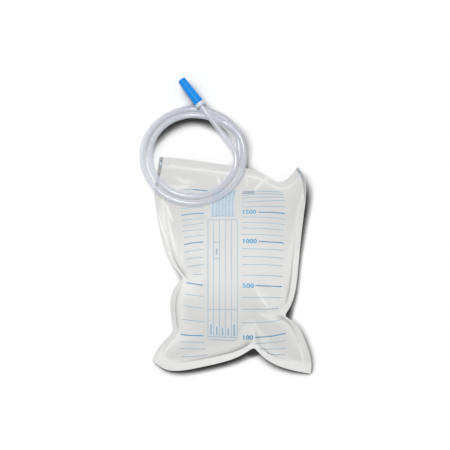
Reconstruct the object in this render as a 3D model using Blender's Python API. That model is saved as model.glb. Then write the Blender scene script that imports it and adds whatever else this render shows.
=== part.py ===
"""Urine drainage bag, laid on its back and puffed with air, with its tube coiled across the top edge.

Metres, +Z up. The origin is on the surface that the bag lies on, under the middle of the bag.
+Y points to the top edge, where the tube comes in, and +X to the bag's right side.
A place on the film is (u, v): u runs from the left edge to the right, v from the top edge to the bottom.
"""

import math

import bmesh
import bpy
import numpy as np
from mathutils import Matrix, Vector

# Film: two plies of soft film, cut to one rectangle and welded together round the edge
BAG_WIDTH = 0.216
BAG_LENGTH = 0.276
FILM_THICKNESS = 0.0003
PLY_GAP = 0.0003
SIDE_WELD = 0.0095
END_WELD = 0.010

# Where each corner of the welded rectangle has been drawn in to, across and along the bag
DRAWN_IN = {
    "top_left": (0.0185, 0.0026),
    "top_right": (0.0259, 0.0156),
    "bottom_right": (0.0095, 0.0026),
    "bottom_left": (0.0086, 0.0186),
}

# Puckers and bulges of each edge: place along the edge from 0 to 1, depth inwards (less than 0 is a bulge),
# reach before it, reach after it, and how rounded its tip is
TOP_EDGE = (
    (0.606, 0.0288, 0.090, 0.035, 0.040),
    (0.895, 0.0378, 0.0093, 0.0095, 0.040),
)
RIGHT_EDGE = (
    (0.073, -0.0314, 0.0146, 0.090, 0.040),
    (0.711, 0.0174, 0.0169, 0.0081, 0.0034),
    (0.954, -0.0170, 0.0203, 0.0203, 0.040),
)
BOTTOM_EDGE = (
    (0.115, -0.0200, 0.0104, 0.0303, 0.040),
    (0.629, 0.0246, 0.0247, 0.0200, 0.0029),
)
LEFT_EDGE = (
    (0.166, -0.0160, 0.090, 0.0457, 0.040),
    (0.586, 0.0215, 0.0188, 0.0130, 0.0043),
    (0.847, 0.0272, 0.084, 0.0188, 0.0060),
)
EDGE_FADE = 2.6  # how fast an edge's puckers die out across the film

# Air inside: how far each film stands off the weld, and how high the weld is held off the table
RISE_TOP = 0.0288
RISE_LOW = 0.052
BACK_DROP = 0.045
PUFF_CORNER_ACROSS = 2.6
PUFF_CORNER_ALONG = 3.4
PUFF_SHOULDER = 0.72  # 0.5 gives a film that stands square off the weld, 1 one that slopes up from it
WELD_LIFT_CORNER = 0.0022
WELD_LIFT_SIDE = 0.0180
WELD_LIFT_END = 0.0095
FLOOR_ROUNDING = 0.004
ROUNDING_SHARE = 0.8  # most that the rounding takes of a low place's height

# Upper corners: curled up off the table, each with a punched hanging hole
CURL_WIDTH = 0.0145
CURL_LENGTH = 0.058
CURL_STRAIGHT = 0.0174
CURL_ANGLE = math.radians(74)
HOLE_DIAMETER = 0.0076
HOLE_FROM_SIDE = 0.0066
HOLE_FROM_TOP = 0.0085
HOLE_SURVEY = 0.002  # distance from its centre at which the slope of the film is read

# Creases in the front film, running in from the puckers: start (u, v), end (u, v), depth share, half width
CREASES = (
    ((1.00, 0.690), (0.70, 0.560), 0.62, 0.0100),
    ((1.00, 0.700), (0.66, 0.735), 0.45, 0.0090),
    ((0.00, 0.575), (0.34, 0.500), 0.55, 0.0095),
    ((0.00, 0.590), (0.30, 0.640), 0.50, 0.0090),
    ((0.00, 0.830), (0.26, 0.800), 0.45, 0.0090),
    ((0.625, 1.00), (0.60, 0.800), 0.60, 0.0105),
    ((0.640, 1.00), (0.74, 0.860), 0.40, 0.0080),
    ((0.850, 0.00), (0.66, 0.170), 0.60, 0.0100),
    ((0.870, 0.00), (0.90, 0.160), 0.45, 0.0080),
)

# Inlet: a soft sleeve welded between the plies near the middle of the top edge
TUBE_DIAMETER = 0.0075
SEAT_CLEARANCE = 0.0003
SLEEVE_PLACE = 0.540  # share of the width
SLEEVE_WALL = 0.0011
SLEEVE_STOP = 0.0012
SLEEVE_CHAMFER = 0.0005
SLEEVE_OUTSIDE = 0.008
SLEEVE_INSIDE = 0.014
SLEEVE_HEIGHT = 0.0088
SLEEVE_SEAT = 0.012
SLEEVE_FILM_MARGIN = 0.0013
SLEEVE_FILM_REACH = 0.013
SLEEVE_FILM_START = 0.020
SLEEVE_FILM_END = 0.054

# Non-return valve: a sleeve of thin film inside the bag, round at the inlet and flat at its lips
VALVE_WALL = 0.0004
VALVE_LENGTH = 0.050
VALVE_LIP_WIDTH = 0.021
VALVE_LIP_OPENING = 0.0006
VALVE_GRIP = 0.003
VALVE_FLAT_BY = 0.55  # share of its length at which it has become flat
VALVE_STATIONS = 7

# Coil of the tube: two loose turns, wound anticlockwise as seen from above
COIL_CENTRE = (-0.0480, 0.1365)
COIL_OUTER = (0.0635, 0.0592)
COIL_INNER = (0.0540, 0.0510)
COIL_LEAN = 0.262  # rise of the coil for its run, from its far side on the table up onto the bag
COIL_START = 26.0  # degrees round from the right-hand side
COIL_END = 700.0
COIL_PITCH = 24.0
START_TRACK = 0.47  # place between the inner track, 0, and the outer, 1
START_OUTWARD = (0.0, 60.0)  # degrees over which the tube moves out to the outer track
START_LEAN = (35.0, 100.0)  # and over which it begins to lean
SECOND_INWARD = (380.0, 440.0)  # and over which the second turn moves in to the inner track
STEP_OVER = (408.0, 26.0)  # where the second turn steps over the first, and how far round that reaches
COIL_STEP = 0.0050  # rise of the second turn there
COIL_BEND = (0.0096, 0.1352, 0.0212)  # corner that the tube rounds as it leaves the coil
BEND_SHARES = (0.2, 0.4, 0.6, 0.8)
CHORD = ((0.060, 0.0213), (0.045, 0.0206), (0.030, 0.0195))  # distance back from the collar, and height
COLLAR_STRAIGHT = (0.0140, 0.0060)
TUBE_POINTS = 72
TUBE_SIDES_RESOLUTION = 3

# Connector: a stepped, tapered nozzle with a collar; the tube is seated in its back
COLLAR_DIAMETER = 0.0124
COLLAR_LENGTH = 0.0046
COLLAR_EDGE = 0.0005
NOZZLE_ROOT = 0.0098
NOZZLE_TIP = 0.0066
NOZZLE_LENGTH = 0.0240
NOZZLE_STEPS = 4
NOZZLE_STEP = 0.0003
NOZZLE_BORE = 0.0042
NOZZLE_EDGE = 0.0004
TUBE_SEAT = 0.0070

# Cap: a tapered cup pushed over the nozzle up to the collar
CAP_LENGTH = 0.0370
CAP_MOUTH = 0.0125
CAP_END = 0.0100
CAP_FLOOR = 0.0016
CAP_FIT = 0.0003
CAP_EDGE = 0.0008
CONNECTOR_SLOPE = math.radians(8.5)
CONNECTOR_HEADING = math.radians(127.0)
COLLAR_PLACE = (-0.0381, 0.1985, 0.0146)

FILM_COLUMNS = 30
FILM_ROWS = 36
SIDE_CROWDING = 0.55  # how much closer the film's columns stand at the sides and the middle
END_CROWDING = 0.35
ROUND_SIDES = 32
SOFT_SIDES = 24


def clear_scene():
    for obj in list(bpy.data.objects):
        bpy.data.objects.remove(obj, do_unlink=True)


def material(name, colour, roughness):
    mat = bpy.data.materials.new(name)
    mat.use_nodes = True
    shader = mat.node_tree.nodes["Principled BSDF"]
    shader.inputs["Base Color"].default_value = (*colour, 1.0)
    shader.inputs["Roughness"].default_value = roughness
    mat.diffuse_color = (*colour, 1.0)
    return mat


def mesh_object(name, bm, mat):
    mesh = bpy.data.meshes.new(name)
    bm.to_mesh(mesh)
    bm.free()
    mesh.materials.append(mat)
    mesh.shade_smooth()
    mesh.set_sharp_from_angle(angle=math.radians(50))
    obj = bpy.data.objects.new(name, mesh)
    bpy.context.scene.collection.objects.link(obj)
    return obj


def smooth_step(x, low, high):
    t = np.clip((x - low) / (high - low), 0.0, 1.0)
    return t * t * (3.0 - 2.0 * t)


def ramp(x, low, high):
    return float(smooth_step(np.array(x), low, high))


# Outline of the bag as it lies


def corner(name):
    across, along = DRAWN_IN[name]
    side = 1 if name.endswith("right") else -1
    end = 1 if name.startswith("top") else -1
    return np.array([side * (BAG_WIDTH / 2 - across), end * (BAG_LENGTH / 2 - along)])


def pucker(place, depth, before, after, rounded, s, length):
    away = (s - place) * length
    reach = np.where(away < 0, before, after)
    return depth * np.exp(-(np.hypot(away, rounded) - rounded) / reach)


def edge_curve(start, end, puckers, inward):
    """Points along one edge, and the share of the edge's own length at which each one lies."""
    s = np.linspace(0.0, 1.0, 601)
    length = np.hypot(*(end - start))
    depth = sum(pucker(*p, s, length) for p in puckers)
    depth = depth - depth[0] * (1 - s) - depth[-1] * s
    points = start + np.outer(s, end - start) + np.outer(depth, inward)
    steps = np.hypot(*np.diff(points, axis=0).T)
    share = np.concatenate([[0.0], np.cumsum(steps)])
    return points, share / share[-1]


def inward_normal(start, end, turn):
    along = (end - start) / np.hypot(*(end - start))
    return turn * np.array([-along[1], along[0]])


TOP_LEFT, TOP_RIGHT = corner("top_left"), corner("top_right")
BOTTOM_LEFT, BOTTOM_RIGHT = corner("bottom_left"), corner("bottom_right")
EDGES = {
    "top": (TOP_LEFT, TOP_RIGHT, TOP_EDGE, -1),
    "bottom": (BOTTOM_LEFT, BOTTOM_RIGHT, BOTTOM_EDGE, 1),
    "left": (TOP_LEFT, BOTTOM_LEFT, LEFT_EDGE, 1),
    "right": (TOP_RIGHT, BOTTOM_RIGHT, RIGHT_EDGE, -1),
}
CURVES = {
    name: edge_curve(start, end, puckers, inward_normal(start, end, turn))
    for name, (start, end, puckers, turn) in EDGES.items()
}

# The level rectangle that the middle of the film keeps to
LEVEL_LEFT = (TOP_LEFT[0] + BOTTOM_LEFT[0]) / 2
LEVEL_RIGHT = (TOP_RIGHT[0] + BOTTOM_RIGHT[0]) / 2
LEVEL_TOP = (TOP_LEFT[1] + TOP_RIGHT[1]) / 2
LEVEL_BOTTOM = (BOTTOM_LEFT[1] + BOTTOM_RIGHT[1]) / 2


def level_place(a, b):
    x = LEVEL_LEFT + (LEVEL_RIGHT - LEVEL_LEFT) * a
    y = LEVEL_TOP + (LEVEL_BOTTOM - LEVEL_TOP) * b
    return np.stack(np.broadcast_arrays(x, y), axis=-1)


def edge_place(name, t):
    points, share = CURVES[name]
    return np.stack([np.interp(t, share, points[:, 0]), np.interp(t, share, points[:, 1])], axis=-1)


def curled(v):
    """1 beside the upper corners, 0 further down."""
    return 1.0 - smooth_step(v * BAG_LENGTH, CURL_STRAIGHT, CURL_LENGTH)


def across_plan(u, v):
    """The share across the bag in plan, once its upper corners have curled up, and the height of the curl."""
    fold = CURL_WIDTH / BAG_WIDTH * curled(v)
    flat = math.cos(CURL_ANGLE)
    lost = fold * (1.0 - flat)
    from_side = np.minimum(u, 1.0 - u)
    inner = np.where(from_side < fold, from_side * flat, from_side - lost) / (1.0 - 2.0 * lost)
    height = np.maximum(fold - from_side, 0.0) * BAG_WIDTH * math.sin(CURL_ANGLE)
    return np.where(u < 0.5, inner, 1.0 - inner), height


def plan(u, v):
    """Where the film at (u, v) lies, as seen from above: level in the middle, and on the outline at its edges."""
    a, _ = across_plan(u, v)
    left, right = ((1 - a) ** EDGE_FADE)[..., None], (a**EDGE_FADE)[..., None]
    top, bottom = ((1 - v) ** EDGE_FADE)[..., None], (v**EDGE_FADE)[..., None]
    return (
        level_place(a, v)
        + (edge_place("left", v) - level_place(0, v)) * left
        + (edge_place("right", v) - level_place(1, v)) * right
        + (edge_place("top", a) - level_place(a, 0)) * top
        + (edge_place("bottom", a) - level_place(a, 1)) * bottom
        - (TOP_LEFT - level_place(0, 0)) * left * top
        - (TOP_RIGHT - level_place(1, 0)) * right * top
        - (BOTTOM_LEFT - level_place(0, 1)) * left * bottom
        - (BOTTOM_RIGHT - level_place(1, 1)) * right * bottom
    )


# Height of the weld and of the two films


def near_sleeve(u, v):
    """1 at the sleeve, 0 away from it."""
    side = np.abs(u - SLEEVE_PLACE) * BAG_WIDTH
    bump = np.where(side < SLEEVE_FILM_REACH, 0.5 + 0.5 * np.cos(math.pi * side / SLEEVE_FILM_REACH), 0.0)
    return bump * (1.0 - smooth_step(v * BAG_LENGTH, SLEEVE_FILM_START, SLEEVE_FILM_END))


def weld_height(u, v):
    side = WELD_LIFT_SIDE * 4 * v * (1 - v) * np.abs(2 * u - 1) ** 2
    end = WELD_LIFT_END * 4 * u * (1 - u) * np.abs(2 * v - 1) ** 2
    _, curl = across_plan(u, v)
    free = WELD_LIFT_CORNER + side + end
    held = near_sleeve(u, v)
    return free * (1 - held) + SLEEVE_HEIGHT * held + curl


def crease(start, end, depth, half_width, u, v):
    x, y = u * BAG_WIDTH, v * BAG_LENGTH
    x0, y0 = start[0] * BAG_WIDTH, start[1] * BAG_LENGTH
    dx, dy = end[0] * BAG_WIDTH - x0, end[1] * BAG_LENGTH - y0
    along = np.clip(((x - x0) * dx + (y - y0) * dy) / (dx * dx + dy * dy), 0.0, 1.0)
    off = np.hypot(x - x0 - along * dx, y - y0 - along * dy)
    return depth * (1.0 - along) * np.exp(-((off / half_width) ** 2))


def puff(u, v):
    """0 on the weld, 1 where the bag is fullest."""
    margin = (SIDE_WELD + (CURL_WIDTH - SIDE_WELD) * curled(v)) / BAG_WIDTH
    across = np.clip((u - margin) / (1 - 2 * margin), 0.0, 1.0)
    along = np.clip((v - END_WELD / BAG_LENGTH) / (1 - 2 * END_WELD / BAG_LENGTH), 0.0, 1.0)
    wide = 1.0 - np.abs(2 * across - 1) ** PUFF_CORNER_ACROSS
    tall = 1.0 - np.abs(2 * along - 1) ** PUFF_CORNER_ALONG
    return np.clip(wide * tall, 0.0, 1.0) ** PUFF_SHOULDER


def front_rise(u, v):
    rise = RISE_TOP + (RISE_LOW - RISE_TOP) * smooth_step(v, 0.20, 0.65)
    pressed = 1.0
    for fold in CREASES:
        pressed = pressed * (1.0 - crease(*fold, u, v))
    sleeve = SLEEVE_OUTER / 2 + SLEEVE_FILM_MARGIN
    return np.maximum(rise * puff(u, v) * pressed, sleeve * near_sleeve(u, v))


def back_drop(u, v):
    """How far the back film falls from the weld, down to the table and no further."""
    free = weld_height(u, v) - FILM_THICKNESS - PLY_GAP / 2
    sleeve = SLEEVE_OUTER / 2 + SLEEVE_FILM_MARGIN
    above = free - np.maximum(BACK_DROP * puff(u, v), sleeve * near_sleeve(u, v))
    rounding = np.minimum(FLOOR_ROUNDING, ROUNDING_SHARE * free)
    rounded = (above + rounding) ** 2 / (4 * rounding)
    kept = np.where(above > rounding, above, np.where(above < -rounding, 0.0, rounded))
    return free - kept


def grid_normals(points):
    du = np.gradient(points, axis=1)
    dv = np.gradient(points, axis=0)
    normal = np.cross(dv, du)
    return normal / np.linalg.norm(normal, axis=-1, keepdims=True)


def film_grid():
    """Film places (u, v), closer together at the edges and at the sleeve."""
    t = np.linspace(0.0, 1.0, FILM_COLUMNS + 1)
    u = t - SIDE_CROWDING * np.sin(4 * math.pi * t) / (4 * math.pi)
    t = np.linspace(0.0, 1.0, FILM_ROWS + 1)
    v = t - END_CROWDING * np.sin(2 * math.pi * t) / (2 * math.pi)
    return np.meshgrid(u, v)


def film_surface(u, v, side):
    """The inner face of the front film (side 1) or of the back film (side -1)."""
    weld = np.concatenate([plan(u, v), weld_height(u, v)[..., None]], axis=-1)
    stand_off = front_rise(u, v) if side > 0 else -back_drop(u, v)
    points = weld + side * PLY_GAP / 2 * grid_normals(weld)
    points[..., 2] += stand_off
    return points


def film(name, side, mat):
    u, v = film_grid()
    inner = film_surface(u, v, side)
    outer = inner + side * FILM_THICKNESS * grid_normals(inner)
    outer[..., 2] = np.maximum(outer[..., 2], 0.0)
    rows, columns = u.shape
    bm = bmesh.new()
    low, high = (inner, outer) if side > 0 else (outer, inner)
    bottom = [[bm.verts.new(p) for p in row] for row in low]
    top = [[bm.verts.new(p) for p in row] for row in high]
    for r in range(rows - 1):
        for c in range(columns - 1):
            for sheet, order in ((top, 1), (bottom, -1)):
                a, b, d, e = sheet[r][c], sheet[r + 1][c], sheet[r + 1][c + 1], sheet[r][c + 1]
                bm.faces.new((a, b, d)[::order])
                bm.faces.new((a, d, e)[::order])
    rim = [(0, c) for c in range(columns - 1)]
    rim += [(r, columns - 1) for r in range(rows - 1)]
    rim += [(rows - 1, c) for c in range(columns - 1, 0, -1)]
    rim += [(r, 0) for r in range(rows - 1, 0, -1)]
    for (r0, c0), (r1, c1) in zip(rim, rim[1:] + rim[:1]):
        bm.faces.new((top[r0][c0], top[r1][c1], bottom[r1][c1], bottom[r0][c0]))
    return mesh_object(name, bm, mat)


def punch_hanging_hole(name, films, side):
    """A round hole through both plies of one upper corner, square to the curled film."""
    u = HOLE_FROM_SIDE / BAG_WIDTH
    u = u if side < 0 else 1.0 - u
    v = HOLE_FROM_TOP / BAG_LENGTH
    du, dv = HOLE_SURVEY / BAG_WIDTH, HOLE_SURVEY / BAG_LENGTH
    us = np.array([[u - du, u, u + du]] * 3)
    vs = np.array([[v - dv] * 3, [v] * 3, [v + dv] * 3])
    weld = np.concatenate([plan(us, vs), weld_height(us, vs)[..., None]], axis=-1)
    centre = Vector(weld[1, 1])
    axis = Vector(grid_normals(weld)[1, 1])
    bm = bmesh.new()
    bmesh.ops.create_cone(
        bm, cap_ends=True, segments=ROUND_SIDES // 2,
        radius1=HOLE_DIAMETER / 2, radius2=HOLE_DIAMETER / 2, depth=HOLE_DIAMETER,
    )
    punch = mesh_object(name, bm, films[0].data.materials[0])
    punch.matrix_world = Matrix.Translation(centre) @ axis.to_track_quat("Z", "X").to_matrix().to_4x4()
    punch.hide_render = True
    punch.display_type = "WIRE"
    for ply in films:
        cut = ply.modifiers.new(name, "BOOLEAN")
        cut.operation = "DIFFERENCE"
        cut.object = punch


# Round pieces, turned about their own Z axis


def turned(name, profile, mat, sides=ROUND_SIDES, on_axis=False):
    """A body of revolution from (radius, height) points: a closed loop, or a line that ends on the axis."""
    bm = bmesh.new()
    points = [bm.verts.new((r, 0.0, z)) for r, z in profile]
    following = points[1:] if on_axis else points[1:] + points[:1]
    edges = [bm.edges.new((a, b)) for a, b in zip(points, following)]
    bmesh.ops.spin(
        bm, geom=points + edges, cent=(0, 0, 0), axis=(0, 0, 1),
        angle=2 * math.pi, steps=sides, use_merge=True,
    )
    bmesh.ops.remove_doubles(bm, verts=bm.verts, dist=1e-6)
    bmesh.ops.recalc_face_normals(bm, faces=bm.faces)
    return mesh_object(name, bm, mat)


# Inlet sleeve and valve

SLEEVE_BORE = TUBE_DIAMETER + 2 * SEAT_CLEARANCE
SLEEVE_OUTER = SLEEVE_BORE + 2 * SLEEVE_WALL


def sleeve_frame():
    """Place of the film's edge at the sleeve, and the way out of the bag along the sleeve's axis."""
    u = np.array([SLEEVE_PLACE, SLEEVE_PLACE])
    v = np.array([0.0, SLEEVE_INSIDE / BAG_LENGTH])
    edge, inside = plan(u, v)
    out = Vector((*(edge - inside), 0.0)).normalized()
    return Vector((*edge, SLEEVE_HEIGHT)), out


def along(place, direction):
    return Matrix.Translation(place) @ direction.to_track_quat("Z", "Y").to_matrix().to_4x4()


def inlet_sleeve(mat):
    edge, out = sleeve_frame()
    shoulder = SLEEVE_OUTSIDE - SLEEVE_SEAT
    bore, stop, outer = SLEEVE_BORE / 2, SLEEVE_BORE / 2 - SLEEVE_STOP, SLEEVE_OUTER / 2
    chamfer = SLEEVE_CHAMFER
    profile = [
        (stop, -SLEEVE_INSIDE), (outer - chamfer, -SLEEVE_INSIDE), (outer, -SLEEVE_INSIDE + chamfer),
        (outer, SLEEVE_OUTSIDE - chamfer), (outer - chamfer, SLEEVE_OUTSIDE),
        (bore, SLEEVE_OUTSIDE), (bore, shoulder), (stop, shoulder),
    ]
    sleeve = turned("inlet_sleeve", profile, mat, sides=SOFT_SIDES)
    sleeve.matrix_world = along(edge, out)


def non_return_valve(mat):
    edge, out = sleeve_frame()
    grip = SLEEVE_OUTER / 2 + SEAT_CLEARANCE
    gripped = VALVE_GRIP / VALVE_LENGTH
    bm = bmesh.new()
    rings = []
    for shell in (0.0, VALVE_WALL):
        for t in [0.0, *np.linspace(gripped, 1.0, VALVE_STATIONS - 1)]:
            flat = ramp(t, gripped, VALVE_FLAT_BY)
            wide = grip + (VALVE_LIP_WIDTH / 2 - grip) * flat + shell
            high = grip + (VALVE_LIP_OPENING / 2 - grip) * flat + shell
            down = -SLEEVE_INSIDE + VALVE_GRIP - t * VALVE_LENGTH
            ring = []
            for k in range(SOFT_SIDES):
                angle = 2 * math.pi * k / SOFT_SIDES
                ring.append(bm.verts.new((wide * math.cos(angle), high * math.sin(angle), down)))
            rings.append(ring)
    inner, outer = rings[:VALVE_STATIONS], rings[VALVE_STATIONS:]
    pairs = list(zip(outer, outer[1:])) + list(zip(inner[::-1], inner[-2::-1]))
    pairs += [(outer[-1], inner[-1]), (inner[0], outer[0])]
    for first, second in pairs:
        for k in range(SOFT_SIDES):
            n = (k + 1) % SOFT_SIDES
            bm.faces.new((first[k], first[n], second[n], second[k]))
    bmesh.ops.recalc_face_normals(bm, faces=bm.faces)
    valve = mesh_object("non_return_valve", bm, mat)
    up = Vector((0, 0, 1))
    turn = Matrix((up.cross(out), up, out)).transposed().to_4x4()
    valve.matrix_world = Matrix.Translation(edge) @ turn


# Tube: out of the sleeve, two turns, then across the coil to the connector


def coil_point(degrees):
    """A point of the coil. Track 0 is the inner one and track 1 the outer one."""
    angle = math.radians(degrees)
    start = START_TRACK + (1.0 - START_TRACK) * ramp(degrees, *START_OUTWARD)
    track = start - ramp(degrees, *SECOND_INWARD)
    a = COIL_INNER[0] + (COIL_OUTER[0] - COIL_INNER[0]) * track
    b = COIL_INNER[1] + (COIL_OUTER[1] - COIL_INNER[1]) * track
    x = COIL_CENTRE[0] + a * math.cos(angle)
    y = COIL_CENTRE[1] + b * math.sin(angle)
    lean = COIL_LEAN * (COIL_CENTRE[1] + COIL_OUTER[1] - y) * ramp(degrees, *START_LEAN)
    first = (SLEEVE_HEIGHT - TUBE_DIAMETER / 2) * (1.0 - ramp(degrees, *START_OUTWARD))
    crossing = COIL_STEP * math.exp(-(((degrees - STEP_OVER[0]) / STEP_OVER[1]) ** 2))
    return Vector((x, y, TUBE_DIAMETER / 2 + lean + first + crossing))


def connector_axis():
    level = math.cos(CONNECTOR_SLOPE)
    return Vector((
        level * math.cos(CONNECTOR_HEADING), level * math.sin(CONNECTOR_HEADING), -math.sin(CONNECTOR_SLOPE),
    ))


def bend(start, corner_place, end):
    """Points between start and end on the bend that rounds the corner."""
    return [
        start * (1 - t) ** 2 + corner_place * 2 * t * (1 - t) + end * t**2
        for t in BEND_SHARES
    ]


def tube_route():
    edge, out = sleeve_frame()
    seat = edge + out * (SLEEVE_OUTSIDE - SLEEVE_SEAT + SEAT_CLEARANCE)
    points = [seat, edge + out * SLEEVE_OUTSIDE]
    points += [coil_point(degrees) for degrees in np.arange(COIL_START, COIL_END, COIL_PITCH)]
    collar = Vector(COLLAR_PLACE)
    axis = connector_axis()
    level = Vector((axis.x, axis.y, 0)).normalized()
    chord = [Vector((*(collar - level * back).xy, height)) for back, height in CHORD]
    points += bend(points[-1], Vector(COIL_BEND), chord[0]) + chord
    points += [collar - axis * back for back in COLLAR_STRAIGHT]
    points.append(collar + axis * (TUBE_SEAT - SEAT_CLEARANCE))
    return points


def smooth_route(points, count):
    """Even points along a smooth curve through the given ones."""
    knots = [2 * points[0] - points[1], *points, 2 * points[-1] - points[-2]]
    fine = []
    for p0, p1, p2, p3 in zip(knots, knots[1:], knots[2:], knots[3:]):
        t0 = 0.0
        t1 = t0 + math.sqrt((p1 - p0).length)
        t2 = t1 + math.sqrt((p2 - p1).length)
        t3 = t2 + math.sqrt((p3 - p2).length)
        for i in range(24):
            t = t1 + (t2 - t1) * i / 24
            a1 = p0 * ((t1 - t) / (t1 - t0)) + p1 * ((t - t0) / (t1 - t0))
            a2 = p1 * ((t2 - t) / (t2 - t1)) + p2 * ((t - t1) / (t2 - t1))
            a3 = p2 * ((t3 - t) / (t3 - t2)) + p3 * ((t - t2) / (t3 - t2))
            b1 = a1 * ((t2 - t) / (t2 - t0)) + a2 * ((t - t0) / (t2 - t0))
            b2 = a2 * ((t3 - t) / (t3 - t1)) + a3 * ((t - t1) / (t3 - t1))
            fine.append(b1 * ((t2 - t) / (t2 - t1)) + b2 * ((t - t1) / (t2 - t1)))
    fine.append(points[-1])
    fine = np.array(fine)
    run = np.concatenate([[0.0], np.cumsum(np.linalg.norm(np.diff(fine, axis=0), axis=1))])
    even = np.linspace(0.0, run[-1], count)
    return np.stack([np.interp(even, run, fine[:, k]) for k in range(3)], axis=1)


def tube(mat):
    route = smooth_route(tube_route(), TUBE_POINTS)
    curve = bpy.data.curves.new("tube", "CURVE")
    curve.dimensions = "3D"
    curve.bevel_depth = TUBE_DIAMETER / 2
    curve.bevel_resolution = TUBE_SIDES_RESOLUTION
    curve.use_fill_caps = True
    line = curve.splines.new("POLY")
    line.points.add(len(route) - 1)
    for point, place in zip(line.points, route):
        point.co = (*place, 1.0)
    curve.materials.append(mat)
    bpy.context.scene.collection.objects.link(bpy.data.objects.new("tube", curve))


# Connector and cap


def nozzle_radius(height):
    """Outer radius of the nozzle's taper, at a height above the collar's front face."""
    return (NOZZLE_ROOT + (NOZZLE_TIP - NOZZLE_ROOT) * height / NOZZLE_LENGTH) / 2


def connector(mat):
    collar = COLLAR_DIAMETER / 2
    seat = TUBE_DIAMETER / 2 + SEAT_CLEARANCE
    front = COLLAR_LENGTH
    profile = [(seat, 0.0), (collar - COLLAR_EDGE, 0.0), (collar, COLLAR_EDGE), (collar, front)]
    for i in range(NOZZLE_STEPS):
        low = NOZZLE_LENGTH * i / NOZZLE_STEPS
        high = NOZZLE_LENGTH * (i + 1) / NOZZLE_STEPS
        profile.append((nozzle_radius(low), front + low))
        profile.append((nozzle_radius(high) + NOZZLE_STEP / 2, front + high))
    tip = front + NOZZLE_LENGTH
    profile[-1] = (nozzle_radius(NOZZLE_LENGTH) - NOZZLE_EDGE, tip)
    profile += [(NOZZLE_BORE / 2, tip), (NOZZLE_BORE / 2, TUBE_SEAT), (seat, TUBE_SEAT)]
    return turned("connector", profile, mat)


def cap(mat):
    start = COLLAR_LENGTH + CAP_FIT
    end = start + CAP_LENGTH
    mouth, closed = CAP_MOUTH / 2, CAP_END / 2
    clear = CAP_FIT + NOZZLE_STEP
    inner_end = end - CAP_FLOOR
    tip = COLLAR_LENGTH + NOZZLE_LENGTH
    bore_tip = nozzle_radius(NOZZLE_LENGTH) + clear
    profile = [
        (0.0, end), (closed - CAP_EDGE, end), (closed, end - CAP_EDGE),
        (mouth, start + CAP_EDGE), (mouth - CAP_EDGE / 2, start),
        (nozzle_radius(start - COLLAR_LENGTH) + clear, start),
        (bore_tip, tip), (bore_tip - CAP_FIT, inner_end), (0.0, inner_end),
    ]
    return turned("cap", profile[::-1], mat, on_axis=True)


def build():
    clear_scene()
    film_mat = material("milky_film", (0.80, 0.82, 0.82), 0.35)
    back_mat = material("milky_back_film", (0.76, 0.78, 0.79), 0.35)
    sleeve_mat = material("soft_sleeve", (0.82, 0.84, 0.86), 0.30)
    valve_mat = material("thin_film", (0.85, 0.87, 0.88), 0.30)
    tube_mat = material("clear_tube", (0.80, 0.81, 0.86), 0.15)
    white_mat = material("white_plastic", (0.92, 0.93, 0.94), 0.35)
    blue_mat = material("blue_plastic", (0.02, 0.28, 0.82), 0.35)

    front = film("front_film", 1, film_mat)
    back = film("back_film", -1, back_mat)
    punch_hanging_hole("left_hole_punch", (front, back), -1)
    punch_hanging_hole("right_hole_punch", (front, back), 1)
    inlet_sleeve(sleeve_mat)
    non_return_valve(valve_mat)
    tube(tube_mat)

    place = along(Vector(COLLAR_PLACE), connector_axis())
    connector(white_mat).matrix_world = place
    cap(blue_mat).matrix_world = place


build()
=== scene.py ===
import math

import bmesh
import bpy
import numpy as np
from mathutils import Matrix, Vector


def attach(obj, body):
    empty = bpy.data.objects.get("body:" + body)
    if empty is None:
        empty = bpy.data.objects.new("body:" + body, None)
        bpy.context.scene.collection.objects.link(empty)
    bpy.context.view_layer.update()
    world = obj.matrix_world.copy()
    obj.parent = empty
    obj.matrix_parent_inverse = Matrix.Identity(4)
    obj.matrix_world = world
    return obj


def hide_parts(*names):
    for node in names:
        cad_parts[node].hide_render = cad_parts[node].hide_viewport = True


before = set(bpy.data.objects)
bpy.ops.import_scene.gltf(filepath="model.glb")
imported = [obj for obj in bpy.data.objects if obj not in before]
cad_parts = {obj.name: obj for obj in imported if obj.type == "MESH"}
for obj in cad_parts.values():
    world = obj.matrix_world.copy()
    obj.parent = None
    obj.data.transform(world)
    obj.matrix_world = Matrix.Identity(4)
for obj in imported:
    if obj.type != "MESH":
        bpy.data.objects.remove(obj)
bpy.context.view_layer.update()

# Camera, table and light.
# The bag is seen from straight above on a white table, under a soft white sky. One broad lamp at the upper
# left throws its shadow to the lower right, where a contact shade in the table's own material deepens it.

PIXEL = 0.00125  # width of the table that one pixel of the 450-pixel photograph covers
PHOTO_SIDE = 450
BAG_MIDDLE = (231.9, 265.3)  # pixel of the photograph that the origin lies under
LENS = 200.0
SENSOR = 36.0
FAR_CLIP = 10.0

camera_data = bpy.data.cameras.new("camera")
camera_data.lens = LENS
camera_data.sensor_width = SENSOR
camera_data.clip_end = FAR_CLIP
camera = bpy.data.objects.new("camera", camera_data)
camera_height = PHOTO_SIDE * PIXEL * LENS / SENSOR
camera_place = Vector((
    (PHOTO_SIDE / 2 - BAG_MIDDLE[0]) * PIXEL, (BAG_MIDDLE[1] - PHOTO_SIDE / 2) * PIXEL, camera_height
))
camera.location = camera_place
bpy.context.scene.collection.objects.link(camera)
bpy.context.scene.camera = camera
bpy.context.scene.view_settings.view_transform = "Standard"

SKY_STRENGTH = 0.40
SUN_STRENGTH = 2.00
SUN_WIDTH = math.radians(10)
SUN_TURN = (math.radians(11), 0.0, math.radians(-155))

world = bpy.data.worlds.new("white_sky")
bpy.context.scene.world = world
world.use_nodes = True
sky = world.node_tree.nodes["Background"]
sky.inputs["Color"].default_value = (1.0, 1.0, 1.0, 1.0)
sky.inputs["Strength"].default_value = SKY_STRENGTH

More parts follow.
